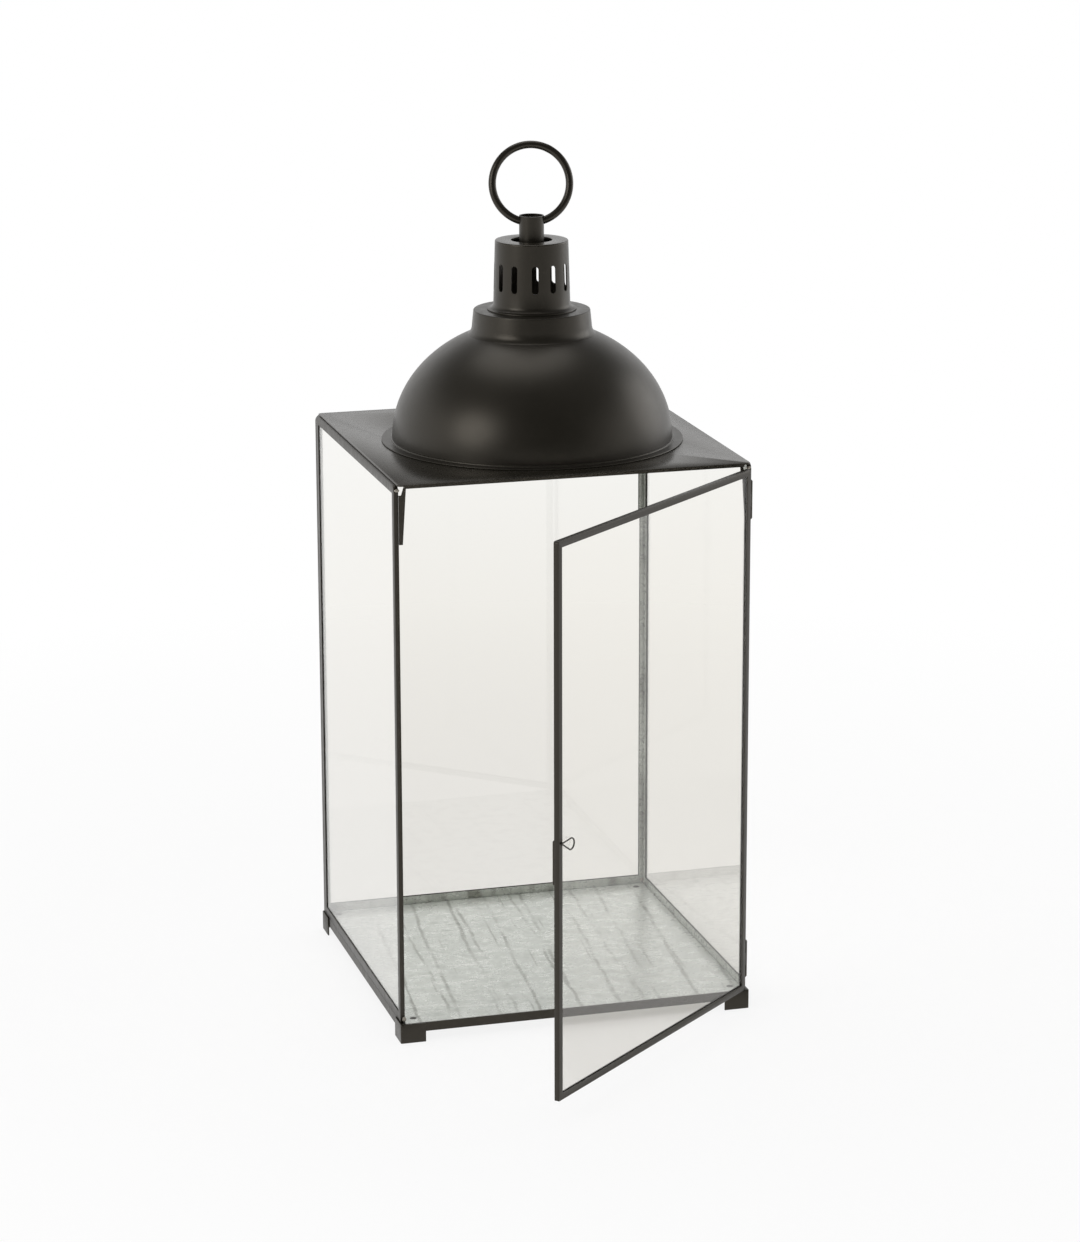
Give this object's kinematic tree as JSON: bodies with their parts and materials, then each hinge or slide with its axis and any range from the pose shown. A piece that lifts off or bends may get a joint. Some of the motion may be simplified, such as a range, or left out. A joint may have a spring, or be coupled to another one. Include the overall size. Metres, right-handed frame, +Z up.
{
  "type": "floor lantern",
  "caption": "Tall square glass-sided candle lantern with a hinged front door, tray floor, domed metal roof, slotted chimney and a swinging ring for carrying or hanging.",
  "frame": {"origin": "centre of the tray's upper face, where a candle stands", "axes": "+Z up from the tray to the ring; the door is on the -Y side, and its hinges are at +X"},
  "size_m": [0.24, 0.3916, 0.571],
  "materials": {
    "black_metal": "satin warm black paint on sheet steel, with bare galvanised metal on the inner faces of the channels",
    "galvanised": "dull zinc coat with a faint spangle and scratches",
    "glass": "clear float glass with polished faces",
    "latch_wire": "blackened steel wire, rubbed bright in places",
    "fastener": "painted steel, slightly rubbed"
  },
  "bodies": {
    "lantern": {"back_channel_bottom": "black_metal", "back_channel_left": "black_metal", "back_channel_right": "black_metal", "back_channel_top": "black_metal", "base_rail_back": "black_metal", "base_rail_front": "black_metal", "base_rail_left": "black_metal", "base_rail_right": "black_metal", "base_tray": "galvanised", "chimney": "black_metal", "chimney_cap": "black_metal", "dome": "black_metal", "dome_collar": "black_metal", "ferrule_screw": "fastener", "foot_back_left": "black_metal", "foot_back_right": "black_metal", "foot_front_left": "black_metal", "foot_front_right": "black_metal", "front_header": "black_metal", "glass_back": "glass", "glass_left": "glass", "glass_right": "glass", "hinge_lower_fixed_leaf": "black_metal", "hinge_lower_pin": "fastener", "hinge_upper_fixed_leaf": "black_metal", "hinge_upper_pin": "fastener", "left_channel_bottom": "black_metal", "left_channel_front": "black_metal", "left_channel_rear": "black_metal", "left_channel_top": "black_metal", "right_channel_bottom": "black_metal", "right_channel_front": "black_metal", "right_channel_rear": "black_metal", "right_channel_top": "black_metal", "ring_ferrule": "black_metal", "ring_strap": "black_metal", "top_plate": "black_metal", "tray_rivets": "fastener"},
    "door": {"door_glass": "glass", "door_rail_bottom": "black_metal", "door_rail_top": "black_metal", "door_stile_free": "black_metal", "door_stile_hinge": "black_metal", "hinge_lower_door_leaf": "black_metal", "hinge_upper_door_leaf": "black_metal"},
    "latch": {"door_latch": "latch_wire"},
    "ring": {"hanging_ring": "black_metal"}
  },
  "joints": [
    {"name": "door_hinge", "type": "hinge", "parent": "lantern", "child": "door", "pos_m": [0.1172, -0.1161, 0.18], "axis": [0, 0, 1], "range_deg": [-41.7, 152]},
    {"name": "latch_turn", "type": "hinge", "parent": "door", "child": "latch", "pos_m": [-0.05647, -0.27083, 0.168], "axis": [-0.6652, 0.7466, 0], "range_deg": [-90, 1]},
    {"name": "ring_swing", "type": "hinge", "parent": "lantern", "child": "ring", "pos_m": [0.0024, -0.003, 0.50704], "axis": [0.9781, -0.2079, 0], "range_deg": [-125, 149]}
  ]
}
